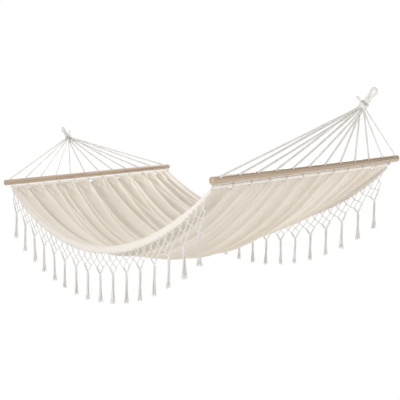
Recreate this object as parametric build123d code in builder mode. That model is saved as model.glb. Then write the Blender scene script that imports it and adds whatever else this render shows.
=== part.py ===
from build123d import *

import os
from math import asinh, atan2, cos, hypot, radians, sin, sqrt, tan

# Hanging cotton hammock with two wooden spreader bars, a rope harness at each end
# and a knotted fringe along both long edges.
# Millimetres. X runs from the left eye to the right eye, +Y is the back edge, +Z is up.
# The origin is the middle of the left eye's seat, where the hanging hook passes through.
# Along each harness, u runs down from the eye's seat to the bed and n is square to it.

# ---------------------------------------------------------------- driving sizes
bar_length = 1200.0
bar_diameter = 32.0
bar_end_round = 3.0
bar_gap = 1855.0            # between the axes of the two hanging bars
harness_angle = 42.0        # slope of each harness below the level

strand_diameter = 5.0       # one string of a doubled harness cord
strand_gap = 0.1            # air between neighbouring strings
neck_columns = (1, 2, 3)    # doubled cords in each column of the neck, edge to middle
bar_end_margin = 33.5       # bar end to the middle of its last hole
hole_clearance = 0.9
hole_mouth_round = 1.5
hole_mouth_rise = 5.0       # height over the bar where a cord turns into its hole
fan_length = 365.0          # neck mouth to bar axis, along u
neck_bend_radius = 6.0
hole_bend_radius = 8.0
splay_bend_radius = 18.0

eye_rope_diameter = 13.0
eye_seat_diameter = 11.0
eye_reach = 46.0            # seat to the middle of the eye knot
eye_leg_bend_radius = 30.0
eye_leg_root = 5.0          # straight start of each leg on the knot
eye_root_bend_radius = 18.0
eye_leg_parallel = 8.0      # how far the legs run side by side past the seat
eye_knot_diameter = 24.0
eye_knot_flat = 8.0         # knot middle to the flat under the legs
pivot_clearance = 0.8

whipping_twine = 2.5
whipping_turns = 8
whipping_clearance = 0.15
tail_diameter = 7.0
tail_length = 20.0
tail_knot_diameter = 11.0

head_rope_diameter = 6.0
head_rope_drop = 20.0       # bar surface to the head rope's axis, along u
head_rope_overhang = 4.0
head_rope_end_round = 1.0
sleeve_clearance = 0.1
wrap_clearance = 0.1
sleeve_wall = 1.6
sleeve_tab = 16.0           # head rope's axis to the seam with the bed
notch_clearance = 1.0

cloth_inset = 24.0          # bar end to the outside of the side hem
cloth_thickness = 3.0
side_hem_height = 38.0      # the side hem hangs as an upright band from the bed's edge
side_hem_thickness = 5.0
hem_end_height = 14.0       # the side hem narrows to this height at both seams
hem_narrowing = 6           # how late it narrows: a power of the distance from the middle
middle_sag = 412.0          # below the seams, along the middle of the bed
edge_sag = 282.0            # below the seams, along each side hem
hang_lean = 0.07            # the bed and its fringe hang a little towards the left end
twist_gap = 0.3             # air between the bed and the right sleeve
profile_points = 17
arc_steps = 20              # refinements of a place along the side hem
loft_sections = 5

tassel_count = 16
net_left_margin = 4.0       # left end of the side hem to the first net cord, along the hem
net_right_margin = 46.0
net_cords_per_tassel = 4
net_rows = (22.0, 45.0, 68.0)   # depth of each row of knots under the hem
net_depth = 103.0           # depth of the knots that the tassels hang from
net_cord = 4.0
net_knot_diameter = 9.0
net_hem_gap = 0.6
tassel_wrap_diameter = 13.0
tassel_wrap_length = 12.0
tassel_body_diameter = 11.0
tassel_foot_diameter = 28.0
tassel_length = 142.0       # wrap and skirt together
tassel_gap = 0.1

# ---------------------------------------------------------------- worked-out sizes
slope = radians(harness_angle)
strand_radius = strand_diameter / 2
tail_radius = tail_diameter / 2
strand_pitch = strand_diameter + strand_gap
hole_count = 2 * sum(neck_columns)
leg_offset = strand_pitch / 2
hole_pitch = (bar_length - 2 * bar_end_margin) / (hole_count - 1)
hole_diameter = 2 * (leg_offset + strand_radius + hole_clearance)
bar_radius = bar_diameter / 2

eye_bend_radius = (eye_seat_diameter + eye_rope_diameter) / 2
eye_leg_offset = (eye_rope_diameter + strand_gap) / 2
neck_radius = hypot((len(neck_columns) - 0.5) * strand_pitch, leg_offset) + strand_radius
whipping_length = whipping_twine * whipping_turns

u_knot = eye_reach
u_neck = u_knot + eye_knot_diameter / 2 + pivot_clearance
u_whipping = u_neck + strand_radius
u_mouth = u_whipping + whipping_length + strand_radius
u_bar = u_mouth + fan_length
u_rope = u_bar + bar_radius + head_rope_drop
u_seam = u_rope + sleeve_tab
wrap_radius = head_rope_diameter / 2 + strand_radius + wrap_clearance

mid_x = u_bar * cos(slope) + bar_gap / 2
seam_x = u_seam * cos(slope)
seam_z = -u_seam * sin(slope)
seam_half = mid_x - seam_x
cloth_width = bar_length - 2 * cloth_inset
panel_half_width = cloth_width / 2 - side_hem_thickness
net_y = cloth_width / 2 - side_hem_thickness / 2
hem_drop = side_hem_height - cloth_thickness / 2
edge_bend = 2 * edge_sag / seam_half**2

# Each end has a work plane: its local x is u, its local z is n, its origin is the eye's seat.
end_planes = {
    "left": Plane((0, 0, 0), x_dir=(cos(slope), 0, -sin(slope)), z_dir=(sin(slope), 0, cos(slope))),
    "right": Plane(
        (2 * mid_x, 0, 0), x_dir=(-cos(slope), 0, -sin(slope)), z_dir=(-sin(slope), 0, cos(slope))
    ),
}


def square_to_u(end, u):
    """Plane across the harness of one end, at the distance u from the eye's seat."""
    plane = end_planes[end]
    return Plane(plane.from_local_coords((u, 0, 0)), x_dir=plane.y_dir, z_dir=plane.x_dir)


def square_to_y(end, u):
    """Plane square to the bar of one end: its local x is u, its local y is n, at the distance u."""
    plane = end_planes[end]
    return Plane(plane.from_local_coords((u, 0, 0)), x_dir=plane.x_dir, z_dir=-plane.y_dir)


def neck_places():
    """(column, y, n) of every doubled cord in the neck, from one edge to the other."""
    places = []
    for column, count in enumerate(neck_columns):
        y = -(len(neck_columns) - 0.5 - column) * strand_pitch
        for level in range(count):
            places.append((column, y, ((count - 1) / 2 - level) * 2 * strand_pitch))
    return places + [(column, -y, n) for column, y, n in reversed(places)]


def hole_y(index):
    return (index - (hole_count - 1) / 2) * hole_pitch


def mouth_u(column):
    """Where the cords of one column turn out of the neck: further down for an inner column."""
    u = u_mouth
    first = 0
    for outer in range(column):
        first += neck_columns[outer]
        turn = atan2(abs(hole_y(first)), fan_length)
        u += strand_pitch * tan(turn / 2)
    return u


def harness_route(index):
    """Points and bend radii of one doubled cord: neck, bar hole, round the head rope and back."""
    column, neck_y, neck_n = neck_places()[index]
    y = hole_y(index)
    going = [
        (u_neck, neck_y, neck_n + leg_offset),
        (mouth_u(column), neck_y, neck_n + leg_offset),
        (u_bar - bar_radius - hole_mouth_rise, y, leg_offset),
        (u_bar + bar_radius, y, leg_offset),
        (u_rope - strand_radius, y, wrap_radius),
        (u_rope + wrap_radius, y, wrap_radius),
    ]
    coming = [(u, side, -n) for u, side, n in reversed(going[2:])]
    coming += [(u, side, neck_n - leg_offset) for u, side, n in reversed(going[:2])]
    neck_bend = neck_bend_radius + column * strand_pitch
    half = [neck_bend, hole_bend_radius, splay_bend_radius, splay_bend_radius]
    round_rope = wrap_radius - wrap_clearance / 2
    return going + coming, half + [round_rope, round_rope] + half[::-1]


def bed_point(x, sag):
    """Place on the bed's middle surface at one y: x is where it would lie if the bed hung level."""
    drop = sag * (1 - ((x - mid_x) / seam_half) ** 2)
    return x - hang_lean * drop, seam_z - drop


def panel_depth(x):
    """Depth of the panel's underside below its middle surface."""
    return cloth_thickness / 2


def hem_depth(x):
    """Depth of the side hem's lower edge below the middle surface: it narrows towards both seams."""
    narrowing = (side_hem_height - hem_end_height) * ((x - mid_x) / seam_half) ** hem_narrowing
    return hem_drop - narrowing


def edge_arc(offset):
    """Length of the side hem from the middle of the bed to this offset in x."""
    slant = edge_bend * offset
    return (offset * sqrt(1 + slant**2) + asinh(slant) / edge_bend) / 2


def edge_x(arc):
    """x of the point that lies this far along the side hem from the middle of the bed."""
    offset = arc
    for _ in range(arc_steps):
        offset -= (edge_arc(offset) - arc) / sqrt(1 + (edge_bend * offset) ** 2)
    return mid_x + offset


def cloth_profile(sag, below):
    """Closed outline of the hanging cloth at one y, drawn in the current line builder."""
    right = 2 * mid_x - seam_x - twist_gap
    xs = [seam_x + (right - seam_x) * i / (profile_points - 1) for i in range(profile_points)]
    places = [bed_point(x, sag) for x in xs]
    top = [(x, z + cloth_thickness / 2) for x, z in places]
    bottom = [(place[0], place[1] - below(x)) for x, place in zip(xs, places)]
    Spline(*top)
    Line(top[-1], bottom[-1])
    Spline(*reversed(bottom))
    Line(bottom[0], top[0])


def export(builder, name):
    builder.part.label = name
    export_step(builder.part, f"parts/{name}.step")


os.makedirs("parts", exist_ok=True)

# ---------------------------------------------------------------- the two harness ends
for end in end_planes:
    # The eye: a served rope bent round the seat, in the plane square to Y.
    leg_start = u_knot - eye_knot_flat
    eye_half = [
        (leg_start, eye_leg_offset),
        (leg_start - eye_leg_root, eye_leg_offset),
        (eye_leg_parallel, eye_bend_radius),
        (-eye_bend_radius, eye_bend_radius),
    ]
    seat_bend = eye_bend_radius - strand_gap / 2
    eye_radii = [eye_root_bend_radius, eye_leg_bend_radius, seat_bend]
    with BuildPart() as eye:
        with BuildLine(square_to_y(end, 0)) as eye_path:
            other_half = [(u, -n) for u, n in reversed(eye_half)]
            FilletPolyline(*eye_half, *other_half, radius=eye_radii + eye_radii[::-1])
        with BuildSketch(eye_path.line ^ 0):
            Circle(eye_rope_diameter / 2)
        sweep(path=eye_path.line)
    export(eye, f"{end}_eye")

    # The knot under the eye is round, and the harness swings about its middle.
    knot_radius = eye_knot_diameter / 2
    flat_radius = sqrt(knot_radius**2 - eye_knot_flat**2)
    with BuildPart() as eye_knot:
        with BuildSketch(square_to_y(end, u_knot)):
            with BuildLine():
                Polyline((knot_radius, 0), (-eye_knot_flat, 0), (-eye_knot_flat, flat_radius))
                ThreePointArc((-eye_knot_flat, flat_radius), (0, knot_radius), (knot_radius, 0))
            make_face()
        revolve(axis=Axis(end_planes[end].origin, end_planes[end].x_dir))
    export(eye_knot, f"{end}_eye_knot")

    # The whipping binds the strings of the neck: turns of twine side by side.
    with BuildPart() as whipping:
        with BuildSketch(square_to_y(end, u_whipping)):
            inner = neck_radius + whipping_clearance
            with Locations((whipping_length / 2, inner + whipping_twine / 4)):
                Rectangle(whipping_length, whipping_twine / 2)
            with Locations((whipping_length / 2, inner + whipping_twine / 2)):
                with GridLocations(whipping_twine, 0, whipping_turns, 1):
                    Circle(whipping_twine / 2)
        revolve(axis=Axis(end_planes[end].origin, end_planes[end].x_dir))
    export(whipping, f"{end}_whipping")

    # The whipping's loose end stands out of it and is finished with a small knot.
    u_tail = u_whipping + whipping_length / 2
    tail_start = neck_radius + whipping_clearance + whipping_twine + strand_gap
    tail_end = tail_start + tail_length
    knot_radius = tail_knot_diameter / 2
    knot_middle = tail_end + sqrt(knot_radius**2 - tail_radius**2)
    knot_top = knot_middle + knot_radius
    with BuildPart() as tie_tail:
        with BuildSketch(square_to_y(end, u_tail)):
            with BuildLine():
                Polyline((0, knot_top), (0, tail_start), (tail_radius, tail_start))
                Line((tail_radius, tail_start), (tail_radius, tail_end))
                ThreePointArc((tail_radius, tail_end), (knot_radius, knot_middle), (0, knot_top))
            make_face()
        revolve(axis=Axis(square_to_y(end, u_tail).origin, end_planes[end].z_dir))
    export(tie_tail, f"{end}_tie_tail")

    # The spreader bar: a turned rod with one hole for each doubled cord.
    with BuildPart() as bar:
        with BuildSketch(square_to_y(end, u_bar)):
            Circle(bar_radius)
        extrude(amount=bar_length / 2, both=True)
        fillet(bar.edges().filter_by(GeomType.CIRCLE), radius=bar_end_round)
        with BuildSketch(square_to_u(end, u_bar)):
            with GridLocations(hole_pitch, 0, hole_count, 1):
                Circle(hole_diameter / 2)
        extrude(amount=bar_diameter, both=True, mode=Mode.SUBTRACT)
        fillet(bar.edges().filter_by(GeomType.BSPLINE), radius=hole_mouth_round)
    export(bar, f"{end}_spreader_bar")

    # The head rope runs inside the sleeve of the bed's end.
    with BuildPart() as head_rope:
        with BuildSketch(square_to_y(end, u_rope)):
            Circle(head_rope_diameter / 2)
        extrude(amount=cloth_width / 2 + head_rope_overhang, both=True)
        fillet(head_rope.edges().filter_by(GeomType.CIRCLE), radius=head_rope_end_round)
    export(head_rope, f"{end}_head_rope")

    # The sleeve: cloth folded round the head rope, with a notch for each cord's bight.
    with BuildPart() as sleeve:
        sleeve_plane = square_to_y(end, u_rope)
        sleeve_bore = head_rope_diameter / 2 + sleeve_clearance
        with BuildSketch(sleeve_plane):
            Circle(sleeve_bore + sleeve_wall)
            with Locations((sleeve_tab, 0)):
                Rectangle(2 * sleeve_tab, cloth_thickness)
            Circle(sleeve_bore, mode=Mode.SUBTRACT)
        extrude(amount=cloth_width / 2, both=True)
        notch_end = wrap_radius + strand_radius + notch_clearance
        notch_length = notch_end + sleeve_bore + sleeve_wall + notch_clearance
        with BuildSketch(end_planes[end]):
            with Locations((u_rope + notch_end - notch_length / 2, 0)):
                with GridLocations(0, hole_pitch, 1, hole_count):
                    Rectangle(notch_length, strand_diameter + 2 * notch_clearance)
        extrude(amount=bar_radius, both=True, mode=Mode.SUBTRACT)
        seam_plane = Plane(end_planes[end].from_local_coords((u_seam, 0, 0)), z_dir=(1, 0, 0))
        split(bisect_by=seam_plane, keep=Keep.BOTTOM if end == "left" else Keep.TOP)
    export(sleeve, f"{end}_sleeve")

    # The doubled cords, numbered from the front edge to the back edge.
    for number in range(hole_count):
        index = number if end == "left" else hole_count - 1 - number
        points, radii = harness_route(index)
        with BuildPart() as cord:
            with BuildLine(end_planes[end]) as cord_path:
                FilletPolyline(*points, radius=radii)
            with BuildSketch(cord_path.line ^ 0):
                Circle(strand_radius)
            sweep(path=cord_path.line)
        name = f"{end}_cord_{number + 1:02d}"
        export(cord, name)
        length = sum(edge.length for edge in cord_path.edges())
        print(name, "length", round(length, 1), "radii", [round(r, 2) for r in radii])

# ---------------------------------------------------------------- the bed
section_step = 2 * panel_half_width / (loft_sections - 1)
with BuildPart() as bed_cloth:
    for section in range(loft_sections):
        y = -panel_half_width + section * section_step
        sag = middle_sag - (middle_sag - edge_sag) * (y / panel_half_width) ** 2
        with BuildSketch(Plane.XZ.offset(-y)):
            with BuildLine():
                    cloth_profile(sag, panel_depth)
            make_face()
    loft()
export(bed_cloth, "bed_cloth")

# ---------------------------------------------------------------- side hems and fringe
net_columns = tassel_count * net_cords_per_tassel
net_start = net_left_margin - edge_arc(seam_half)
net_step = (edge_arc(seam_half) - net_right_margin - net_start) / (net_columns - 1)
half_knot = net_knot_diameter / 2


def net_point(column, depth):
    """Point of the net: a column counted from the first cord, at a depth under the hem."""
    level_x = edge_x(net_start + column * net_step)
    x, z = bed_point(level_x, edge_sag)
    return x - hang_lean * depth, z - hem_depth(level_x) - net_hem_gap - depth


def net_links():
    """Pairs of (column, depth) that a length of net cord joins."""
    first, second, third = net_rows
    links = []
    for column in range(net_columns):
        outward = column + (0.5 if column % 2 == 0 else -0.5)
        inward = column + (0.5 if column % 2 else -0.5)
        inward = min(max(inward, 0), net_columns - 1)
        links.append(((column, net_cord / 2), (outward, first)))
        links.append(((outward, first), (inward, second)))
        links.append(((inward, second), (outward, third)))
    for tassel in range(tassel_count):
        middle = (tassel + 0.5) * net_cords_per_tassel - 0.5
        links.append(((middle - 1, third), (middle, net_depth)))
        links.append(((middle + 1, third), (middle, net_depth)))
    return sorted(set(links))


def strip(start, finish):
    """Straight length of net cord between two points, as a flat face."""
    along = (Vector(*finish) - Vector(*start)).normalized()
    across = Vector(-along.Y, along.X) * (net_cord / 2)
    corners = [Vector(*start) + across, Vector(*start) - across]
    corners += [Vector(*finish) - across, Vector(*finish) + across]
    return Face(Wire.make_polygon(corners, close=True))


net_faces = [strip(net_point(*a), net_point(*b)) for a, b in net_links()]
for knot in sorted({point for link in net_links() for point in link if point[1] > net_cord / 2}):
    net_faces.append(Pos(*net_point(*knot)) * Face(Wire.make_circle(half_knot)))
net_outline = Sketch() + net_faces

tassel_places = []
for tassel in range(tassel_count):
    middle = (tassel + 0.5) * net_cords_per_tassel - 0.5
    x, z = net_point(middle, net_depth)
    tassel_places.append((x, z - half_knot - tassel_gap))

for side, front in (("front", -1), ("back", 1)):
    # The side hem: doubled cloth, stitched, hanging upright along the bed's edge.
    with BuildPart() as side_hem:
        with BuildSketch(Plane.XZ.offset(-front * net_y)):
            with BuildLine():
                cloth_profile(edge_sag, hem_depth)
            make_face()
        extrude(amount=side_hem_thickness / 2, both=True)
    export(side_hem, f"{side}_side_hem")

    # The knotted net under the hem.
    with BuildPart() as net:
        with BuildSketch(Plane.XZ.offset(-front * net_y)):
            add(net_outline)
        extrude(amount=net_cord / 2, both=True)
    export(net, f"{side}_net")

    # One wrap and one skirt under each of the net's lowest knots.
    with BuildPart() as tassel_wraps:
        for x, z in tassel_places:
            with BuildSketch(Plane.XY.offset(z)):
                with Locations((x, front * net_y)):
                    Circle(tassel_wrap_diameter / 2)
            extrude(amount=-tassel_wrap_length)
    export(tassel_wraps, f"{side}_tassel_wraps")

    with BuildPart() as tassels:
        for x, z in tassel_places:
            top = z - tassel_wrap_length - tassel_gap
            skirt_length = tassel_length - tassel_wrap_length
            with BuildSketch(Plane.XY.offset(top)):
                with Locations((x, front * net_y)):
                    Circle(tassel_body_diameter / 2)
            with BuildSketch(Plane.XY.offset(top - skirt_length)):
                with Locations((x - hang_lean * skirt_length, front * net_y)):
                    Circle(tassel_foot_diameter / 2)
            loft()
    export(tassels, f"{side}_tassels")
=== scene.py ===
import math
import random

import bpy
import numpy as np
from mathutils import Matrix, Vector


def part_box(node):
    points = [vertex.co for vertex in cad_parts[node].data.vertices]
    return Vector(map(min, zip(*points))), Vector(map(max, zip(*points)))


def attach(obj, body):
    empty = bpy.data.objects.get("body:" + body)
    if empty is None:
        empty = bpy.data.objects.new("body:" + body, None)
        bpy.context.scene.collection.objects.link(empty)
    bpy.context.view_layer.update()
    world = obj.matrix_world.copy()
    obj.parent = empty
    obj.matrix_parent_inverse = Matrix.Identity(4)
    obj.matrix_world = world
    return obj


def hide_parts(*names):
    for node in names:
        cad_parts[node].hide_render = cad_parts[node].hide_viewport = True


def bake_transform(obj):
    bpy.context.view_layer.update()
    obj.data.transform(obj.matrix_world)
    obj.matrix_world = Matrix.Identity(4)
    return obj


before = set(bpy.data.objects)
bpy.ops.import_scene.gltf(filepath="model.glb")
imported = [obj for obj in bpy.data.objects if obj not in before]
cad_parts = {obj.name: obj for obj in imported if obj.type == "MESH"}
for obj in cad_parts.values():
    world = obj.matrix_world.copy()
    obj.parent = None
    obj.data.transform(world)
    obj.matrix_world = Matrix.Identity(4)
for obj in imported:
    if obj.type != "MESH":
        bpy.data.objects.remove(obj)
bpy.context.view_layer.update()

# Hanging cotton hammock: wooden spreader bars, rope harness, gathered cloth bed, knotted fringe.
# Metres. X runs from the left eye to the right eye, -Y is the front edge, +Z is up.
# Along each harness, u runs down from the eye's seat to the bed and n is square to it.

# ------------------------------------------------------------------ places, from the frame


def middle(node):
    low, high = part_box(node)
    return (low + high) / 2


BAR = middle("left_spreader_bar")
BAR_RADIUS = (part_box("left_spreader_bar")[1].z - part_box("left_spreader_bar")[0].z) / 2
SLOPE = math.atan2(-BAR.z, BAR.x)
U_BAR = math.hypot(BAR.x, BAR.z)
U_KNOT = middle("left_eye_knot").length
ROPE = middle("left_head_rope")
U_ROPE = math.hypot(ROPE.x, ROPE.z)
HEAD_ROPE_RADIUS = (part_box("left_head_rope")[1].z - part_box("left_head_rope")[0].z) / 2
MID_X = (BAR.x + middle("right_spreader_bar").x) / 2
SEAM_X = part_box("bed_cloth")[0].x
CAD_CLOTH_HALF = 0.0015     # half the thickness of the CAD cloth
SEAM_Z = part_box("bed_cloth")[1].z - CAD_CLOTH_HALF
SEAM_HALF = MID_X - SEAM_X
CLOTH_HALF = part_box("bed_cloth")[1].y
HEM_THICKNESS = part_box("front_side_hem")[1].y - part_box("front_side_hem")[0].y
HEM_Y = middle("back_side_hem").y
HEM_HEIGHT = 0.038
HEM_END_HEIGHT = 0.014
HEM_DROP = HEM_HEIGHT - CAD_CLOTH_HALF
HANG_LEAN = 0.07            # the bed and its fringe hang a little towards the left end
CLOTH_THICKNESS = 0.0014
CLOTH_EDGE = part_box("back_side_hem")[1].y
MIDDLE_SAG = SEAM_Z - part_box("bed_cloth")[0].z - CAD_CLOTH_HALF
EDGE_SAG = SEAM_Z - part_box("front_side_hem")[0].z - HEM_HEIGHT + CAD_CLOTH_HALF
HEM_HALF = HEM_THICKNESS / 2 - 0.0006       # half the band's thickness, a little inside the CAD hem
STITCH_ROWS = (0.16, 0.84)  # shares of the hem's height
STITCH_PITCH = 0.0052
STITCH_LENGTH = 0.0038
STITCH_RADIUS = 0.0005
SLEEVE_TAB = 0.016

STRING = 0.005              # one string of a doubled harness cord
STRING_PITCH = 0.0051       # between two strings that lie side by side
NECK_COLUMNS = (1, 2, 3)    # doubled cords in each column of half the neck
HOLE_COUNT = 2 * sum(NECK_COLUMNS)
HOLE_PITCH = 0.103
FAN_LENGTH = 0.365
U_MOUTH = U_BAR - FAN_LENGTH
U_NECK = 0.0588             # where the cords start, between the eye's knot and the whipping
NECK_RADIUS = math.hypot((len(NECK_COLUMNS) - 0.5) * STRING_PITCH, STRING_PITCH / 2) + STRING / 2
WRAP_RADIUS = 0.0056        # of the cord's centreline round the head rope

ENDS = {"left": 1, "right": -1}
END_BODY = {"left": "left_end", "right": "right_end"}


def end_point(end, u, y, n):
    """Point of one end from its own u, y and n. The right end is the left one turned half round."""
    along = ENDS[end]
    x = u * math.cos(SLOPE) + n * math.sin(SLOPE)
    z = -u * math.sin(SLOPE) + n * math.cos(SLOPE)
    start = 0 if end == "left" else 2 * MID_X
    return Vector((start + along * x, along * y, z))


# ------------------------------------------------------------------ small helpers


def link(name, mesh_or_curve):
    made = bpy.data.objects.new(name, mesh_or_curve)
    bpy.context.scene.collection.objects.link(made)
    return made


def mesh_object(name, vertices, faces, smooth=True):
    mesh = bpy.data.meshes.new(name)
    mesh.from_pydata([tuple(v) for v in vertices], [], faces)
    mesh.update()
    if smooth:
        mesh.polygons.foreach_set("use_smooth", [True] * len(mesh.polygons))
    return link(name, mesh)


def spline_points(name, control, spacing):
    """Evenly spaced points along a smooth NURBS line with these control points."""
    curve = bpy.data.curves.new(name, "CURVE")
    curve.dimensions = "3D"
    curve.resolution_u = 24
    spline = curve.splines.new("NURBS")
    spline.points.add(len(control) - 1)
    for point, place in zip(spline.points, control):
        point.co = (*place, 1)
    spline.order_u = 3
    spline.use_endpoint_u = True
    route = link(name, curve)
    bpy.context.view_layer.update()
    mesh = bpy.data.meshes.new_from_object(route)
    places = np.array([v.co[:] for v in mesh.vertices])
    bpy.data.objects.remove(route)
    bpy.data.meshes.remove(mesh)
    return evenly(places, spacing)


def distance_along(places):
    """Distance of each point from the first, along the line."""
    steps = np.linalg.norm(np.diff(places, axis=0), axis=1)
    return np.concatenate([[0], np.cumsum(steps)])


def evenly(places, spacing):
    """The same line with points at about this spacing."""
    along = distance_along(places)
    count = max(2, int(round(along[-1] / spacing)) + 1)
    wanted = np.linspace(0, along[-1], count)
    return np.stack([np.interp(wanted, along, places[:, k]) for k in range(3)], axis=1)


def as_array(points):
    return np.array([list(p) for p in points], float)


def bend_through(points, steps=8):
    """A soft line through these points."""
    pts = as_array(points)
    padded = np.concatenate([2 * pts[:1] - pts[1:2], pts, 2 * pts[-1:] - pts[-2:-1]])
    made = []
    for k in range(1, len(padded) - 2):
        a, b, c, d = padded[k - 1:k + 3]
        for share in np.linspace(0, 1, steps, endpoint=False):
            made.append(0.5 * (2 * b + (c - a) * share + (2 * a - 5 * b + 4 * c - d) * share**2
                               + (3 * b - a - 3 * c + d) * share**3))
    made.append(pts[-1])
    return np.array(made)


def paint_flat(piece, flat):
    """Stores each vertex's place on the flat cloth, in metres, as the map that the weave uses."""
    layer = piece.data.uv_layers.new(name="flat")
    index = np.zeros(len(piece.data.loops), dtype=np.int32)
    piece.data.loops.foreach_get("vertex_index", index)
    layer.data.foreach_set("uv", np.asarray(flat)[index].ravel())


def box_flat(piece):
    """Map for a piece that runs along Y: y, and height round it."""
    places = np.array([v.co[:] for v in piece.data.vertices])
    paint_flat(piece, np.stack([places[:, 1], places[:, 2] + places[:, 0]], axis=1))


def applied(piece, name):
    """The piece as a plain mesh with its modifiers applied."""
    bpy.context.view_layer.update()
    evaluated = piece.evaluated_get(bpy.context.evaluated_depsgraph_get())
    made = link(name, bpy.data.meshes.new_from_object(evaluated))
    made.data.name = name
    bpy.data.objects.remove(piece)
    return made


def frames_along(places):
    """Tangent and two square directions at each point, carried along without twist."""
    tangents = np.gradient(places, axis=0)
    tangents /= np.linalg.norm(tangents, axis=1)[:, None]
    start = np.array([0.0, 0.0, 1.0]) if abs(tangents[0][2]) < 0.9 else np.array([1.0, 0.0, 0.0])
    side = start - tangents[0] * start.dot(tangents[0])
    sides = [side / np.linalg.norm(side)]
    for tangent in tangents[1:]:
        side = sides[-1] - tangent * sides[-1].dot(tangent)
        sides.append(side / np.linalg.norm(side))
    sides = np.array(sides)
    return tangents, sides, np.cross(tangents, sides)


def ring_faces(rows, width):
    """Faces that join closed rings of this many points each, and close both ends."""
    faces = []
    for row in range(rows - 1):
        for place in range(width):
            following = (place + 1) % width
            a, b = row * width + place, row * width + following
            faces.append((a, b, b + width, a + width))
    faces.append(tuple(range(width))[::-1])
    faces.append(tuple(range((rows - 1) * width, rows * width)))
    return faces


def tube(places, radii, corners):
    """Vertices and faces of a round tube along the points. radii is one number or one per point."""
    _, first, second = frames_along(places)
    radii = np.broadcast_to(radii, len(places))
    angles = np.linspace(0, 2 * math.pi, corners, endpoint=False)
    ring = first[:, None, :] * np.cos(angles)[None, :, None]
    ring = ring + second[:, None, :] * np.sin(angles)[None, :, None]
    vertices = (places[:, None, :] + ring * radii[:, None, None]).reshape(-1, 3)
    return vertices, ring_faces(len(places), corners)


def join_parts(parts):
    """One list of vertices and faces from several."""
    vertices, faces, count = [], [], 0
    for part_vertices, part_faces in parts:
        vertices.append(np.asarray(part_vertices))
        faces += [tuple(index + count for index in face) for face in part_faces]
        count += len(part_vertices)
    return np.concatenate(vertices), faces


def twisted(places, diameter, lay=3.4, corners=5, phase=0.0):
    """A laid rope along the points: three strands wound round the centreline, one turn in lay diameters."""
    strands = 3
    strand_radius = diameter * 0.285
    orbit = diameter / 2 - strand_radius
    _, first, second = frames_along(places)
    along = distance_along(places)
    parts = []
    for strand in range(strands):
        turn = phase + 2 * math.pi * (along / (lay * diameter) + strand / strands)
        offset = first * np.cos(turn)[:, None] + second * np.sin(turn)[:, None]
        parts.append(tube(places + offset * orbit, strand_radius, corners))
    return join_parts(parts)


def small_knot(centre, size, turn, radius):
    """A cord drawn into a tight overhand knot."""
    angle = np.linspace(0, 2 * math.pi, 30, endpoint=False)
    a = (np.sin(angle) + 2 * np.sin(2 * angle)) * size
    b = (np.cos(angle) - 2 * np.cos(2 * angle)) * size
    c = -np.sin(3 * angle) * size * 1.25
    first = Vector((math.cos(turn), math.sin(turn), 0))
    second = Vector((-math.sin(turn), math.cos(turn), 0))
    upward = Vector((0, 0, 1))
    line = as_array([
        centre + first * float(p) + upward * float(q) + second * float(r) for p, q, r in zip(a, b, c)
    ])
    return tube(np.concatenate([line, line[:2]]), radius, 6)


# ------------------------------------------------------------------ materials


def new_material(name, roughness, sheen=0.0):
    material = bpy.data.materials.new(name)
    material.use_nodes = True
    nodes = material.node_tree.nodes
    shader = nodes["Principled BSDF"]
    shader.inputs["Roughness"].default_value = roughness
    shader.inputs["Sheen Weight"].default_value = sheen
    shader.inputs["Sheen Roughness"].default_value = 0.5
    return material, nodes, material.node_tree.links, shader


def ramp(nodes, links, source, stops):
    made = nodes.new("ShaderNodeValToRGB")
    elements = made.color_ramp.elements
    while len(elements) < len(stops):
        elements.new(0.5)
    for element, (place, colour) in zip(elements, stops):
        element.position = place
        element.color = (*colour, 1)
    links.new(source, made.inputs["Fac"])
    return made.outputs["Color"]


def bump(nodes, links, shader, source, strength, distance):
    made = nodes.new("ShaderNodeBump")
    made.inputs["Strength"].default_value = strength
    made.inputs["Distance"].default_value = distance
    links.new(source, made.inputs["Height"])
    links.new(made.outputs["Normal"], shader.inputs["Normal"])


def noise(nodes, links, vector, scale, detail=3.0, roughness=0.5):
    made = nodes.new("ShaderNodeTexNoise")
    made.inputs["Scale"].default_value = scale
    made.inputs["Detail"].default_value = detail
    made.inputs["Roughness"].default_value = roughness
    links.new(vector, made.inputs["Vector"])
    return made.outputs["Fac"]


def wave(nodes, links, vector, scale, direction, distortion=0.0):
    made = nodes.new("ShaderNodeTexWave")
    made.bands_direction = direction
    made.inputs["Scale"].default_value = scale
    made.inputs["Distortion"].default_value = distortion
    made.inputs["Detail Scale"].default_value = 2.0
    links.new(vector, made.inputs["Vector"])
    return made.outputs["Fac"]


def mixed(nodes, links, kind, first, second):
    made = nodes.new("ShaderNodeMath")
    made.operation = kind
    links.new(first, made.inputs[0])
    links.new(second, made.inputs[1])
    return made.outputs["Value"]


def cotton_cloth(name, light, shade, thread):
    """Plain-woven cotton: warp and weft threads from the cloth's own flat coordinates."""
    material, nodes, links, shader = new_material(name, 0.92, 0.25)
    flat = nodes.new("ShaderNodeUVMap")
    flat.uv_map = "flat"
    place = flat.outputs["UV"]
    warp = wave(nodes, links, place, math.pi / 10 / thread, "X", 0.4)
    weft = wave(nodes, links, place, math.pi / 10 / thread, "Y", 0.4)
    weave = mixed(nodes, links, "MULTIPLY", warp, weft)
    slub = noise(nodes, links, place, 60.0, 4.0)
    cloudy = noise(nodes, links, place, 6.0, 3.0)
    tone = mixed(nodes, links, "MULTIPLY", slub, cloudy)
    colour = ramp(nodes, links, tone, [(0.12, shade), (0.45, light)])
    links.new(colour, shader.inputs["Base Color"])
    height = mixed(nodes, links, "ADD", weave, slub)
    bump(nodes, links, shader, height, 0.35, 0.0006)
    return material


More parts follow.
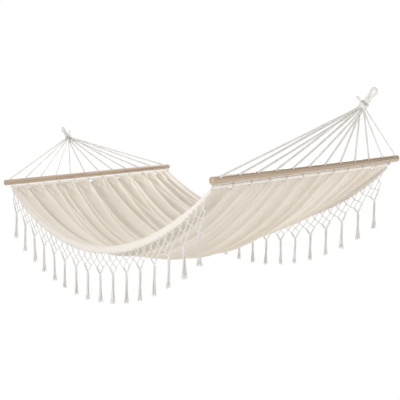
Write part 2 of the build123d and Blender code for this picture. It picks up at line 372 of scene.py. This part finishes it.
def cotton_cord(name, light, shade, fibre=900.0):
    """Soft cotton string: fine fibres and small changes of tone."""
    material, nodes, links, shader = new_material(name, 0.95, 0.3)
    coordinates = nodes.new("ShaderNodeTexCoord")
    place = coordinates.outputs["Object"]
    fuzz = noise(nodes, links, place, fibre, 2.0, 0.7)
    cloudy = noise(nodes, links, place, 14.0, 2.0)
    tone = mixed(nodes, links, "MULTIPLY", fuzz, cloudy)
    colour = ramp(nodes, links, tone, [(0.12, shade), (0.38, light)])
    links.new(colour, shader.inputs["Base Color"])
    bump(nodes, links, shader, fuzz, 0.3, 0.0004)
    return material


def bar_wood(name):
    """Light turned hardwood: long grain along Y, rings on the cut ends, worn and oiled."""
    material, nodes, links, shader = new_material(name, 0.48)
    coordinates = nodes.new("ShaderNodeTexCoord")
    stretch = nodes.new("ShaderNodeMapping")
    stretch.inputs["Scale"].default_value = (1.0, 0.045, 1.0)
    links.new(coordinates.outputs["Object"], stretch.inputs["Vector"])
    place = stretch.outputs["Vector"]
    rings = wave(nodes, links, place, 42.0, "Z", 5.0)
    fibre = noise(nodes, links, place, 520.0, 4.0, 0.65)
    broad = noise(nodes, links, place, 26.0, 3.0)
    grain = mixed(nodes, links, "MULTIPLY", rings, fibre)
    tone = mixed(nodes, links, "ADD", grain, broad)
    colour = ramp(
        nodes, links, tone,
        [(0.30, (0.20, 0.135, 0.085)), (0.60, (0.395, 0.295, 0.205)), (0.95, (0.52, 0.405, 0.295))],
    )
    links.new(colour, shader.inputs["Base Color"])
    bump(nodes, links, shader, fibre, 0.25, 0.0005)
    return material


LINEN = cotton_cloth("bed_canvas", (0.700, 0.640, 0.555), (0.655, 0.590, 0.500), 0.0016)
# The hem and sleeve cloth is the bed's own cotton painted about a sixth lighter: painted light standing in
# for the front light that falls on the upright band.
HEM_PAINTED_LIGHTER = cotton_cloth("hem_canvas_painted_lighter", (0.820, 0.775, 0.710), (0.775, 0.725, 0.655), 0.0016)
CORD = cotton_cord("harness_string", (0.78, 0.755, 0.72), (0.68, 0.65, 0.61))
YARN = cotton_cord("fringe_yarn", (0.80, 0.78, 0.745), (0.70, 0.675, 0.64), 1400.0)
THREAD = cotton_cord("stitch_thread", (0.80, 0.76, 0.69), (0.68, 0.63, 0.56), 1800.0)
WOOD = bar_wood("turned_wood")


def finish_piece(piece, material, slot_name, *nodes):
    piece.data.materials.clear()
    piece.data.materials.append(material)
    if nodes:
        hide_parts(*nodes)


# ------------------------------------------------------------------ camera

CAMERA_OFFSET = Vector((3.062, -2.412, 0.156))      # from the middle of the bars' level
CAMERA_YAW = math.radians(140.68)
CAMERA_PITCH = math.radians(-4.62)
CAMERA_ROLL = math.radians(-4.33)
CAMERA_LENS = 65.4
CAMERA_SENSOR = 36.0


def make_camera():
    data = bpy.data.cameras.new("camera")
    data.sensor_width = CAMERA_SENSOR
    data.lens = CAMERA_LENS
    data.clip_end = 50
    camera = link("camera", data)
    forward = Vector((
        math.cos(CAMERA_PITCH) * math.cos(CAMERA_YAW),
        math.cos(CAMERA_PITCH) * math.sin(CAMERA_YAW),
        math.sin(CAMERA_PITCH),
    ))
    level = Vector((math.sin(CAMERA_YAW), -math.cos(CAMERA_YAW), 0))
    raised = level.cross(forward)
    right = level * math.cos(CAMERA_ROLL) + raised * math.sin(CAMERA_ROLL)
    upward = raised * math.cos(CAMERA_ROLL) - level * math.sin(CAMERA_ROLL)
    turn = Matrix((right, upward, -forward)).transposed()
    camera.matrix_world = Matrix.Translation(Vector((MID_X, 0, BAR.z)) + CAMERA_OFFSET) @ turn.to_4x4()
    bpy.context.scene.camera = camera


make_camera()

# ------------------------------------------------------------------ harness cords

STRAIGHT_END = 6 * STRING       # a taut run stays straight from this far past a bend
HOLE_MOUTH_RISE = 0.005         # the cord bends this far above the bar


def neck_places():
    """(column, y, n) of every doubled cord in the neck, from one edge to the other."""
    places = []
    for column, count in enumerate(NECK_COLUMNS):
        y = -(len(NECK_COLUMNS) - 0.5 - column) * STRING_PITCH
        for level in range(count):
            places.append((column, y, ((count - 1) / 2 - level) * 2 * STRING_PITCH))
    return places + [(column, -y, n) for column, y, n in reversed(places)]


def hole_y(index):
    return (index - (HOLE_COUNT - 1) / 2) * HOLE_PITCH


def mouth_u(column):
    """Where the cords of one column turn out of the neck: further down for an inner column."""
    u = U_MOUTH
    first = 0
    for outer in range(column):
        first += NECK_COLUMNS[outer]
        u += STRING_PITCH * math.tan(math.atan2(abs(hole_y(first)), FAN_LENGTH) / 2)
    return u


def harness_route(index):
    """Route of one doubled cord, (u, y, n): neck, bar hole, round the head rope and back."""
    column, neck_y, neck_n = neck_places()[index]
    y = hole_y(index)
    leg = STRING_PITCH / 2
    below_bar = [
        (U_BAR + BAR_RADIUS, leg), (U_ROPE - STRING / 2, WRAP_RADIUS), (U_ROPE + WRAP_RADIUS, WRAP_RADIUS),
    ]
    halves = []
    for face in (1, -1):
        mouth = Vector((mouth_u(column), neck_y, neck_n + face * leg))
        hole = Vector((U_BAR - BAR_RADIUS - HOLE_MOUTH_RISE, y, face * leg))
        run = (hole - mouth).normalized() * STRAIGHT_END
        half = [Vector((U_NECK, neck_y, neck_n + face * leg)), mouth, mouth + run, hole - run, hole]
        halves.append(half + [Vector((u, y, face * n)) for u, n in below_bar])
    return halves[0] + halves[1][::-1]


def make_cord(end, number):
    index = number if end == "left" else HOLE_COUNT - 1 - number
    name = f"{end}_harness_cord_{number + 1:02d}"
    control = [end_point(end, *p) for p in harness_route(index)]
    places = spline_points(name + "_route", control, 0.003)
    cord = mesh_object(name, *twisted(places, STRING, phase=index))
    finish_piece(cord, CORD, "harness_cord", f"{end}_cord_{number + 1:02d}")
    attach(cord, END_BODY[end])


for end in ENDS:
    for number in range(HOLE_COUNT):
        make_cord(end, number)

# ------------------------------------------------------------------ eyes, knots and whippings


def served(places, radius, twine):
    """A rope wound closely with twine: its radius swells once for each turn."""
    along = distance_along(places)
    swell = np.abs(np.sin(math.pi * along / twine))
    return tube(places, radius - 0.0007 * (1 - swell), 12)


def make_eye(end):
    """The eye: one rope, closely wound with twine, whose legs lie together until they part round the hook."""
    radius, seat = 0.0062, 0.012
    start = U_KNOT - 0.006
    half = [(start, 0.0066), (start - 0.008, 0.0064), (0.026, 0.0066), (0.016, 0.0085), (0.006, seat),
            (-0.0045, seat * 1.04), (-seat * 0.98, seat * 0.56)]
    control = [end_point(end, u, 0, n) for u, n in half + [(u, -n) for u, n in reversed(half)]]
    places = spline_points(f"{end}_eye_route", control, 0.0006)
    eye = mesh_object(f"{end}_eye_served", *served(places, radius, 0.0024))
    finish_piece(eye, CORD, "eye_rope", f"{end}_eye")
    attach(eye, "hung_eyes")


def make_eye_knot(end):
    """The knot under the eye: three turns of the rope drawn tight round a core."""
    parts = []
    core = as_array([end_point(end, U_KNOT + share, 0, 0) for share in np.linspace(-0.0085, 0.0092, 20)])
    swell = 0.0068 + 0.0018 * np.sin(np.linspace(0.2, math.pi, 20))
    parts.append(tube(core, swell, 20))
    angle = np.linspace(0, 2 * math.pi, 72)
    reach = 0.0078
    for shift, tilt, lean in ((-0.0030, 0.0034, 0.4), (0.0032, -0.0024, 2.3)):
        ring = [
            end_point(
                end, U_KNOT + shift + tilt * math.sin(a + lean), reach * math.sin(a), reach * math.cos(a)
            )
            for a in angle
        ]
        parts.append(twisted(as_array(ring), 0.0078, lay=2.6, corners=8, phase=lean))
    cross = [
        (0.0060, -0.0046, 0.0080), (0.0040, -0.0015, 0.0106),
        (-0.0015, 0.0025, 0.0106), (-0.0070, 0.0055, 0.0080),
    ]
    for face in (1, -1):
        line = bend_through([end_point(end, U_KNOT + u, face * y, face * n) for u, y, n in cross])
        parts.append(twisted(evenly(line, 0.001), 0.0072, lay=2.6, corners=8))
    knot = mesh_object(f"{end}_eye_knot_tied", *join_parts(parts))
    finish_piece(knot, CORD, "eye_rope", f"{end}_eye_knot")
    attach(knot, "hung_eyes")


def make_whipping(end):
    """Eight close turns of twine round the strings of the neck, and the tie's knotted end beside them."""
    twine, turns, first = 0.0025, 8, U_NECK + STRING / 2
    radius = NECK_RADIUS + 0.00015 + twine / 2
    angle = np.linspace(0, 2 * math.pi * turns, 40 * turns)
    along = first + twine / 2 + (twine * (turns - 1)) * angle / angle[-1]
    coil = [end_point(end, u, radius * math.sin(a), radius * math.cos(a)) for u, a in zip(along, angle)]
    whipping = mesh_object(f"{end}_whipping_turns", *tube(as_array(coil), twine / 2, 8))
    finish_piece(whipping, CORD, "whipping_twine", f"{end}_whipping")
    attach(whipping, END_BODY[end])
    middle_u = first + twine * turns / 2
    low = radius + twine / 2
    rise = [(0, 0, -0.0010), (0.0010, 0.0005, 0.007), (-0.0012, -0.0005, 0.014), (-0.0005, 0, 0.021)]
    line = bend_through([end_point(end, middle_u + u, y, low + n) for u, y, n in rise])
    parts = [twisted(evenly(line, 0.001), 0.0070, lay=3.0, corners=7)]
    top = low + 0.0245
    parts.append(small_knot(end_point(end, middle_u - 0.0005, 0, top), 0.0015, 0.3, 0.0026))
    tail = mesh_object(f"{end}_tail_knotted", *join_parts(parts))
    finish_piece(tail, CORD, "whipping_twine", f"{end}_tie_tail")
    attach(tail, END_BODY[end])


for end in ENDS:
    make_eye(end)
    make_eye_knot(end)
    make_whipping(end)

# ------------------------------------------------------------------ bars, head ropes and sleeves

for end in ENDS:
    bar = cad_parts[f"{end}_spreader_bar"]
    bar.data.materials.clear()
    bar.data.materials.append(WOOD)
    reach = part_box(f"{end}_head_rope")[1].y
    line = [end_point(end, U_ROPE, y, 0) for y in np.linspace(-reach, reach, 420)]
    laid = twisted(as_array(line), 2 * HEAD_ROPE_RADIUS, corners=6)
    head_rope = mesh_object(f"{end}_head_rope_laid", *laid)
    finish_piece(head_rope, CORD, "head_rope", f"{end}_head_rope")
    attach(head_rope, END_BODY[end])


def gather(y, rows):
    """Height of the small rucks of cloth drawn up on the head rope, at y."""
    return sum(size * np.sin(2 * math.pi * y / length + shift) for size, length, shift in rows)


RUCKS = [(0.0011, 0.0137, 0.3), (0.0007, 0.0229, 1.9), (0.0005, 0.0081, 4.0)]   # height, length, shift


def make_sleeve(end):
    """Cloth folded round the head rope and gathered, open where each cord's bight comes through."""
    notch = STRING + 2 * 0.001
    stops = [-CLOTH_EDGE] + [hole_y(index) for index in range(HOLE_COUNT)] + [CLOTH_EDGE]
    outer = HEAD_ROPE_RADIUS + 0.0017
    parts = []
    for number in range(len(stops) - 1):
        low = stops[number] + (notch / 2 if number else 0)
        high = stops[number + 1] - (notch / 2 if number < HOLE_COUNT else 0)
        ys = np.linspace(low, high, max(6, int((high - low) / 0.0016)))
        profile = []
        for a in np.linspace(math.radians(38), math.radians(322), 22):
            profile.append((outer * math.cos(a), outer * math.sin(a), 1.0))
        root = outer * 0.8
        for face, shares in ((-1, (0.35, 0.7, 1.0)), (1, (1.0, 0.7, 0.35))):
            for share in shares:
                u = root + (SLEEVE_TAB - root) * share
                profile.append((u, face * (0.0036 - 0.0021 * share), 1 - 0.5 * share))
        vertices = []
        for y in ys:
            ruck = float(gather(y, RUCKS))
            for u, n, share in profile:
                size = 1 + 0.22 * share * ruck / 0.0015
                centre = min(1.0, max(0.0, (outer - u) / outer)) if u > 0 else 1.0
                swell = 1 + (size - 1) * centre
                lift = 0.6 * ruck * (1 - centre)
                vertices.append(end_point(end, U_ROPE + u * (swell if u < 0 else 1), y, n * swell + lift))
        parts.append((as_array(vertices), ring_faces(len(ys), len(profile))))
    sleeve = mesh_object(f"{end}_sleeve_gathered", *join_parts(parts))
    box_flat(sleeve)
    finish_piece(sleeve, HEM_PAINTED_LIGHTER, "hem_cloth", f"{end}_sleeve")
    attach(sleeve, END_BODY[end])
    return sleeve


SLEEVES = [make_sleeve(end) for end in ENDS]

# ------------------------------------------------------------------ the bed


def bed_point(x, sag):
    """Place on the bed's middle surface: x is where it would lie if the bed hung level."""
    drop = sag * (1 - ((x - MID_X) / SEAM_HALF) ** 2)
    return x - HANG_LEAN * drop, SEAM_Z - drop


def hem_low(x):
    """Depth of the hem's lower edge under the middle of the cloth: it narrows towards both seams."""
    return HEM_DROP - (HEM_HEIGHT - HEM_END_HEIGHT) * ((x - MID_X) / SEAM_HALF) ** 6


EDGE_BEND = 2 * EDGE_SAG / SEAM_HALF**2


def edge_arc(offset):
    slant = EDGE_BEND * offset
    return (offset * math.sqrt(1 + slant**2) + math.asinh(slant) / EDGE_BEND) / 2


def edge_x(arc):
    """x of the point that lies this far along the side hem from the middle of the bed."""
    offset = arc
    for _ in range(20):
        offset -= (edge_arc(offset) - arc) / math.sqrt(1 + (EDGE_BEND * offset) ** 2)
    return MID_X + offset


HEM_ARC = edge_arc(SEAM_HALF) - 0.0012


def creases():
    """Long folds in the bed: where each starts, how it wanders, how deep and how wide it is."""
    chance = random.Random(11)
    made = []
    for index in range(HOLE_COUNT):
        made.append({
            "y": hole_y(index) + chance.uniform(-0.014, 0.014),
            "bow": chance.uniform(-0.030, 0.030), "turn": chance.uniform(-0.016, 0.016),
            "deep": chance.uniform(0.018, 0.030), "near": 0.006 + chance.uniform(0, 0.004),
            "far": chance.uniform(0.016, 0.034), "from": -0.15, "to": 1.15,
        })
    for count in range(30):
        left = count % 2 == 0
        reach = chance.uniform(0.25, 0.8)
        made.append({
            "y": chance.uniform(-0.55, 0.55),
            "bow": chance.uniform(-0.04, 0.04), "turn": chance.uniform(-0.02, 0.02),
            "deep": chance.uniform(0.005, 0.012), "near": 0.005 + chance.uniform(0, 0.003),
            "far": chance.uniform(0.009, 0.022),
            "from": -0.15 if left else 1 - reach, "to": reach if left else 1.15,
        })
    return made


def fold_height(y, t):
    """Height of the folds over the smooth bed, at y and at the share t of the way along."""
    total = np.zeros_like(y)
    for fold in creases():
        middle_y = fold["y"] + fold["bow"] * np.sin(math.pi * t) + fold["turn"] * np.sin(2 * math.pi * t)
        away = y - middle_y
        width = np.where(away < 0, fold["near"], fold["far"])
        rise = np.clip((t - fold["from"]) / 0.2, 0, 1) * np.clip((fold["to"] - t) / 0.2, 0, 1)
        rise = rise * rise * (3 - 2 * rise)
        total = total - fold["deep"] * rise * np.exp(-(np.sqrt(away**2 + 0.0025**2) - 0.0025) / width)
    hang = 0.55 + 0.45 * np.sin(math.pi * t) ** 0.7
    edge = np.clip((CLOTH_HALF - np.abs(y)) / 0.05, 0, 1)
    return (total + 0.0115) * hang * edge * edge * (3 - 2 * edge)


def gathers(y, t):
    """Small folds that fan out from each cord's bight and die away down the cloth."""
    length = 2 * SEAM_HALF
    total = np.zeros_like(y)
    for side in (t, 1 - t):
        away = side * length + 0.016
        for index in range(HOLE_COUNT):
            offset = y - hole_y(index)
            reach = np.hypot(away, offset)
            angle = np.arctan2(offset, away)
            fan = np.cos(angle * (11 + index % 3)) * np.exp(-((angle / 0.9) ** 2))
            total = total + 0.0042 * fan * np.exp(-reach / 0.085)
        total = total + gather(y, RUCKS) * np.exp(-side * length / 0.05)
    edge = np.clip((CLOTH_HALF - np.abs(y)) / 0.03, 0, 1)
    return total * edge


def make_bed():
    rows, columns = ((300, 460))
    t, y = np.meshgrid(np.linspace(0, 1, rows), np.linspace(-CLOTH_HALF, CLOTH_HALF, columns), indexing="ij")
    # rows lie closer together near the bars, where the cloth is gathered
    t = t - 0.10 * np.sin(2 * math.pi * t) / (2 * math.pi) * 2
    sag = MIDDLE_SAG - (MIDDLE_SAG - EDGE_SAG) * (y / CLOTH_HALF) ** 2
    x, z = bed_point(SEAM_X + 2 * SEAM_HALF * t, sag)
    z = z + fold_height(y, t) + gathers(y, t)
    vertices = np.stack([x, y, z], axis=-1).reshape(-1, 3)
    index = np.arange(rows * columns).reshape(rows, columns)
    faces = np.stack([index[:-1, :-1], index[1:, :-1], index[1:, 1:], index[:-1, 1:]], axis=-1).reshape(-1, 4)
    sheet = mesh_object("bed_canvas_flat", vertices, [tuple(int(i) for i in f) for f in faces])
    steps_x = np.hypot(np.diff(x, axis=0), np.diff(z, axis=0))
    along = np.concatenate([np.zeros((1, columns)), np.cumsum(steps_x, axis=0)])
    steps_y = np.hypot(np.diff(y, axis=1), np.diff(z, axis=1))
    across = np.concatenate([np.zeros((rows, 1)), np.cumsum(steps_y, axis=1)], axis=1)
    flat = np.stack([across, along], axis=-1).reshape(-1, 2)
    paint_flat(sheet, flat)
    thick = sheet.modifiers.new("thickness", "SOLIDIFY")
    thick.thickness = CLOTH_THICKNESS
    thick.offset = 0
    bed = applied(sheet, "bed_canvas_sheet")
    finish_piece(bed, LINEN, "bed_cloth", "bed_cloth")
    return bed


bed = make_bed()

# ------------------------------------------------------------------ side hems and stitching


def hem_place(side, arc, share, out=0.0):
    """Point on the hem: along its arc, at a share of its height from the top, and out from its middle."""
    level_x = edge_x(arc)
    x, z = bed_point(level_x, EDGE_SAG)
    wander = 0.0011 * math.sin(arc * 31 + side) + 0.0007 * math.sin(arc * 83)
    depth = -CLOTH_THICKNESS / 2 + (hem_low(level_x) + CLOTH_THICKNESS / 2) * share
    return Vector((x, side * (HEM_Y + out + wander), z - depth))


def make_hem(name, side):
    """Cloth folded double and sewn: an upright band with a rolled top, puckered along its seams."""
    half = HEM_HALF
    roll = half / HEM_HEIGHT
    outline = []
    for a in np.linspace(-90, 90, 7):
        outline.append((half * math.sin(math.radians(a)), roll * (1 - math.cos(math.radians(a)))))
    for share in np.linspace(0, 1, 12)[1:-1]:
        outline.append((half, roll + (1 - 2 * roll) * share))
    for a in np.linspace(90, 270, 7):
        outline.append((half * math.sin(math.radians(a)), 1 - roll * (1 + math.cos(math.radians(a)))))
    for share in np.linspace(1, 0, 12)[1:-1]:
        outline.append((-half, roll + (1 - 2 * roll) * share))
    arcs = np.linspace(-HEM_ARC, HEM_ARC, 700)
    vertices, flat = [], []
    for arc in arcs:
        pucker = 0.0004 * math.sin(2 * math.pi * arc / 0.0113) + 0.0003 * math.sin(2 * math.pi * arc / 0.0071)
        for number, (out, share) in enumerate(outline):
            seam = sum(math.exp(-((share - row) / 0.075) ** 2) for row in STITCH_ROWS)
            drawn = out * (1 - 0.30 * seam) + pucker * (1 if out > 0 else -1) * (0.4 + seam)
            vertices.append(hem_place(side, arc, share, drawn))
            flat.append((0.0025 * number, arc))
    hem = mesh_object(f"{name}_hem_band", as_array(vertices), ring_faces(len(arcs), len(outline)))
    paint_flat(hem, np.array(flat))
    finish_piece(hem, HEM_PAINTED_LIGHTER, "hem_cloth", f"{name}_side_hem")
    return hem


def stitch(places_of, starts):
    """A row of short stitches: each is a small bent thread that dips into the cloth at both ends."""
    parts = []
    for start in starts:
        line = [places_of(start + STITCH_LENGTH * share, lift) for share, lift in
                ((0, -0.0006), (0.12, 0.0002), (0.5, 0.0005), (0.88, 0.0002), (1, -0.0006))]
        parts.append(tube(as_array(line), STITCH_RADIUS, 5))
    return join_parts(parts)


def make_hem_stitches(name, side):
    parts = []
    starts = np.arange(-HEM_ARC + 0.004, HEM_ARC - 0.008, STITCH_PITCH)
    for row in STITCH_ROWS:
        for face in (1, -1):
            parts.append(stitch(
                lambda arc, lift, row=row, face=face: hem_place(
                    side, arc, row, face * (0.7 * HEM_HALF + 0.0003 + lift)
                ),
                starts,
            ))
    piece = mesh_object(f"{name}_hem_stitches", *join_parts(parts))
    finish_piece(piece, THREAD, "hem_cloth")
    return piece


def make_sleeve_stitches(end):
    """The row of stitches that closes the sleeve, on both faces of the tab."""
    parts = []
    for face in (1, -1):
        for number in range(HOLE_COUNT + 1):
            low = -CLOTH_EDGE if number == 0 else hole_y(number - 1) + 0.005
            high = CLOTH_EDGE if number == HOLE_COUNT else hole_y(number) - 0.005
            starts = np.arange(low + 0.0005, max(low + 0.001, high - 0.004), STITCH_PITCH)
            parts.append(stitch(
                lambda y, lift, face=face: end_point(
                    end, U_ROPE + 0.011, y, face * (0.0024 + lift) + 0.6 * float(gather(y, RUCKS))
                ),
                starts,
            ))
    piece = mesh_object(f"{end}_sleeve_stitches", *join_parts(parts))
    finish_piece(piece, THREAD, "hem_cloth")
    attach(piece, END_BODY[end])


for end in ENDS:
    make_sleeve_stitches(end)

# ------------------------------------------------------------------ fringe: net, wraps and tassels

TASSEL_COUNT = 16
NET_CORDS_PER_TASSEL = 4
NET_ROWS = (0.022, 0.045, 0.068)
NET_DEPTH = 0.103
NET_CORD = 0.0050
NET_LEFT_MARGIN = 0.004
NET_RIGHT_MARGIN = 0.046
NET_COLUMNS = TASSEL_COUNT * NET_CORDS_PER_TASSEL
NET_START = NET_LEFT_MARGIN - edge_arc(SEAM_HALF)
NET_STEP = (edge_arc(SEAM_HALF) - NET_RIGHT_MARGIN - NET_START) / (NET_COLUMNS - 1)
FRINGE_SWAY = 0.05          # the fringe also hangs a little towards the front
TASSEL_LENGTH = 0.142
OUTER_STRINGS = 8           # of each tassel, round one in the middle
FRAY_START = 0.78           # share of a string's length where its yarns come apart
WRAP_LENGTH = 0.012


def net_place(side, column, depth):
    level_x = edge_x(NET_START + column * NET_STEP)
    x, z = bed_point(level_x, EDGE_SAG)
    return Vector((x - HANG_LEAN * depth, side * HEM_Y - FRINGE_SWAY * depth, z - hem_low(level_x) - depth))


def tassel_column(tassel):
    """Place of a tassel among the net's columns: in the middle of the cords that it gathers."""
    return (tassel + 0.5) * NET_CORDS_PER_TASSEL - 0.5


def net_links():
    """Pairs of (column, depth), and how many cords join them."""
    first, second, third = NET_ROWS
    links = {}
    for column in range(NET_COLUMNS):
        outward = column + (0.5 if column % 2 == 0 else -0.5)
        inward = column + (0.5 if column % 2 else -0.5)
        inward = min(max(inward, 0), NET_COLUMNS - 1)
        for pair in (((column, 0), (outward, first)), ((outward, first), (inward, second)),
                     ((inward, second), (outward, third))):
            links[pair] = links.get(pair, 0) + 1
        last = ((outward, third), (tassel_column(column // NET_CORDS_PER_TASSEL), NET_DEPTH))
        links[last] = links.get(last, 0) + 1
    return links


def make_net(name, side):
    chance = random.Random(21 + side)
    parts = []
    knots = set()
    for ((one, top), (two, low)), count in sorted(net_links().items()):
        start, finish = net_place(side, one, top), net_place(side, two, low)
        knots.add((two, low))
        for cord in range(count):
            apart = (cord - (count - 1) / 2) * NET_CORD * 0.95
            bow = Vector((chance.uniform(-0.0012, 0.0012), chance.uniform(-0.0008, 0.0008), 0))
            shift = Vector((0.4 * apart, side * apart, 0))
            slack = Vector((0, 0, -0.0008))
            line = [start + shift * 0.5, (start * 2 + finish) / 3 + bow + slack + shift,
                    (start + finish * 2) / 3 + bow + slack + shift, finish + shift * 0.5]
            places = evenly(bend_through(line), 0.0024)
            parts.append(twisted(places, NET_CORD, corners=4, phase=chance.uniform(0, 6)))
    for column, depth in sorted(knots):
        big = 1.25 if depth == NET_DEPTH else 1.0
        place, turn = net_place(side, column, depth), chance.uniform(-0.6, 0.6)
        parts.append(small_knot(place, 0.00125 * big, turn, 0.0017 * big))
    for column in range(NET_COLUMNS):
        # the cord is hitched through the hem's lower edge
        base = net_place(side, column, 0)
        for shift in (-0.0017, 0.0017):
            reach = HEM_THICKNESS / 2 + 0.0012
            line = [base + Vector((shift, 0, -0.0015)), base + Vector((shift, side * reach, 0.0015)),
                    base + Vector((shift * 0.8, side * reach, 0.0065)),
                    base + Vector((shift * 0.5, side * 0.0012, 0.0078))]
            parts.append(tube(evenly(bend_through(line), 0.0015), 0.0014, 6))
        line = [base + Vector((x, side * y, z)) for x, y, z in
                ((-0.0035, 0.0012, -0.0014), (-0.0028, 0.0040, -0.0010),
                 (0.0028, 0.0040, -0.0010), (0.0035, 0.0012, -0.0014))]
        parts.append(tube(evenly(bend_through(line), 0.0015), 0.0014, 6))
    net = mesh_object(f"{name}_net_knotted", *join_parts(parts))
    finish_piece(net, YARN, "net_cord", f"{name}_net")
    return net


def tassel_tops(side):
    """Top of each tassel's wrap, under the net's lowest knots."""
    below_knots = NET_DEPTH + 0.0046
    return [net_place(side, tassel_column(tassel), below_knots) for tassel in range(TASSEL_COUNT)]


def make_wraps(name, side):
    parts = []
    for top in tassel_tops(side):
        turns, twine = 5, 0.0024
        angle = np.linspace(0, 2 * math.pi * turns, 20 * turns)
        line = [
            top + Vector((0.0050 * math.cos(a), 0.0050 * math.sin(a), -0.0012 - twine * a / (2 * math.pi)))
            for a in angle
        ]
        parts.append(tube(as_array(line), 0.0013, 6))
        core = [top + Vector((0, 0, 0.001)), top + Vector((0, 0, -0.003)), top + Vector((0, 0, -0.0125))]
        parts.append(tube(evenly(as_array(core), 0.003), 0.0047, 10))
    wraps = mesh_object(f"{name}_tassel_wraps_wound", *join_parts(parts))
    finish_piece(wraps, YARN, "tassel_yarn", f"{name}_tassel_wraps")
    return wraps


def make_tassels(name, side):
    """Nine strings hang together under each wrap, each laid from three yarns that fray at the foot."""
    chance = random.Random(5 + side)
    parts = []
    for top in tassel_tops(side):
        total = TASSEL_LENGTH - WRAP_LENGTH
        lean = Vector((chance.uniform(-0.004, 0.004) - HANG_LEAN * total,
                       chance.uniform(-0.004, 0.004) - FRINGE_SWAY * total, 0))
        for string in range(OUTER_STRINGS + 1):
            outer = string < OUTER_STRINGS
            around = 2 * math.pi * (string + chance.uniform(-0.2, 0.2)) / OUTER_STRINGS
            home = 0.0046 if outer else 0.0
            spread = chance.uniform(0.0065, 0.0115) if outer else 0.001
            length = total - chance.uniform(0, 0.010)
            turn_to = around + chance.uniform(-0.5, 0.5)
            levels = np.linspace(0, 1, 34)
            reach = home + (spread - home) * np.clip((levels - 0.35) / 0.65, 0, 1) ** 1.6
            heading = around + (turn_to - around) * levels
            wave_x = 0.0010 * np.sin(levels * 9 + string)
            centre = np.stack([
                top.x + reach * np.cos(heading) + lean.x * levels + wave_x * levels,
                top.y + reach * np.sin(heading) + lean.y * levels,
                top.z - WRAP_LENGTH + 0.002 - length * levels,
            ], axis=1)
            for yarn in range(3):
                winding = 2 * math.pi * (levels * length / 0.011 + yarn / 3)
                fray = np.clip((levels - FRAY_START) / (1 - FRAY_START), 0, 1)
                out = 0.00095 + 0.0050 * fray**1.3 * chance.uniform(0.3, 1.0)
                settle = winding[int(FRAY_START * (len(levels) - 1))] + chance.uniform(-0.4, 0.4)
                turn = np.where(levels < FRAY_START, winding, settle)
                offset = np.stack([out * np.cos(turn), out * np.sin(turn), np.zeros_like(turn)], axis=1)
                parts.append(tube(centre + offset, 0.0012 * (1 - 0.35 * fray), 4))
    tassels = mesh_object(f"{name}_tassels_strung", *join_parts(parts))
    finish_piece(tassels, YARN, "tassel_yarn", f"{name}_tassels")
    return tassels


FRINGE = []
for name, side in (("front", -1), ("back", 1)):
    FRINGE += [make_hem(name, side), make_hem_stitches(name, side), make_net(name, side)]
    FRINGE += [make_wraps(name, side), make_tassels(name, side)]

for piece in [bed] + FRINGE:
    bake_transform(piece)

# ------------------------------------------------------------------ floor and light

FLOOR_Z = -1.45
FLOOR_HALF = 60.0


def make_floor():
    """A pale floor that lights the hammock from below and shows as plain white behind it."""
    corners = [(FLOOR_HALF * x, FLOOR_HALF * y, FLOOR_Z) for x, y in ((-1, -1), (1, -1), (1, 1), (-1, 1))]
    floor = mesh_object("floor", corners, [(0, 1, 2, 3)], smooth=False)
    material, nodes, links, shader = new_material("floor_pale", 0.95)
    shader.inputs["Base Color"].default_value = (0.95, 0.95, 0.95, 1)
    shader.inputs["Specular IOR Level"].default_value = 0.0
    shader.inputs["Emission Color"].default_value = (1, 1, 1, 1)
    shader.inputs["Emission Strength"].default_value = 0.22
    plain = nodes.new("ShaderNodeEmission")
    plain.inputs["Color"].default_value = (1, 1, 1, 1)
    plain.inputs["Strength"].default_value = 1.0
    choice = nodes.new("ShaderNodeMixShader")
    links.new(nodes.new("ShaderNodeLightPath").outputs["Is Camera Ray"], choice.inputs["Fac"])
    links.new(shader.outputs["BSDF"], choice.inputs[1])
    links.new(plain.outputs["Emission"], choice.inputs[2])
    links.new(choice.outputs["Shader"], nodes["Material Output"].inputs["Surface"])
    floor.data.materials.append(material)


def make_world():
    """Even light from all round, and a plain white backdrop."""
    world = bpy.data.worlds.new("world")
    bpy.context.scene.world = world
    world.use_nodes = True
    tree = world.node_tree
    backdrop = tree.nodes["Background"]
    backdrop.inputs["Color"].default_value = (1, 1, 1, 1)
    level = tree.nodes.new("ShaderNodeMapRange")
    level.inputs["To Min"].default_value = 0.62
    level.inputs["To Max"].default_value = 1.0
    tree.links.new(tree.nodes.new("ShaderNodeLightPath").outputs["Is Camera Ray"], level.inputs["Value"])
    tree.links.new(level.outputs["Result"], backdrop.inputs["Strength"])


def make_lamps():
    """A key lamp above the back edge, one in front, and a weak one low behind for the underside's folds."""
    for name, place, power, size in (
        ("key", (MID_X - 1.2, 3.0, 1.65), 114, 1.0),
        ("front", (MID_X + 2.0, -3.6, 0.7), 56, 1.2),
        ("low", (MID_X + 1.6, 3.6, -1.0), 26, 0.8),
    ):
        data = bpy.data.lights.new(name, "AREA")
        data.energy = power
        data.size = size
        lamp = link(name, data)
        lamp.location = place
        aim = Vector((MID_X, 0, -0.5)) - Vector(place)
        lamp.rotation_euler = aim.to_track_quat("-Z", "Y").to_euler()


make_floor()
make_world()
make_lamps()
bpy.context.scene.view_settings.view_transform = "Standard"
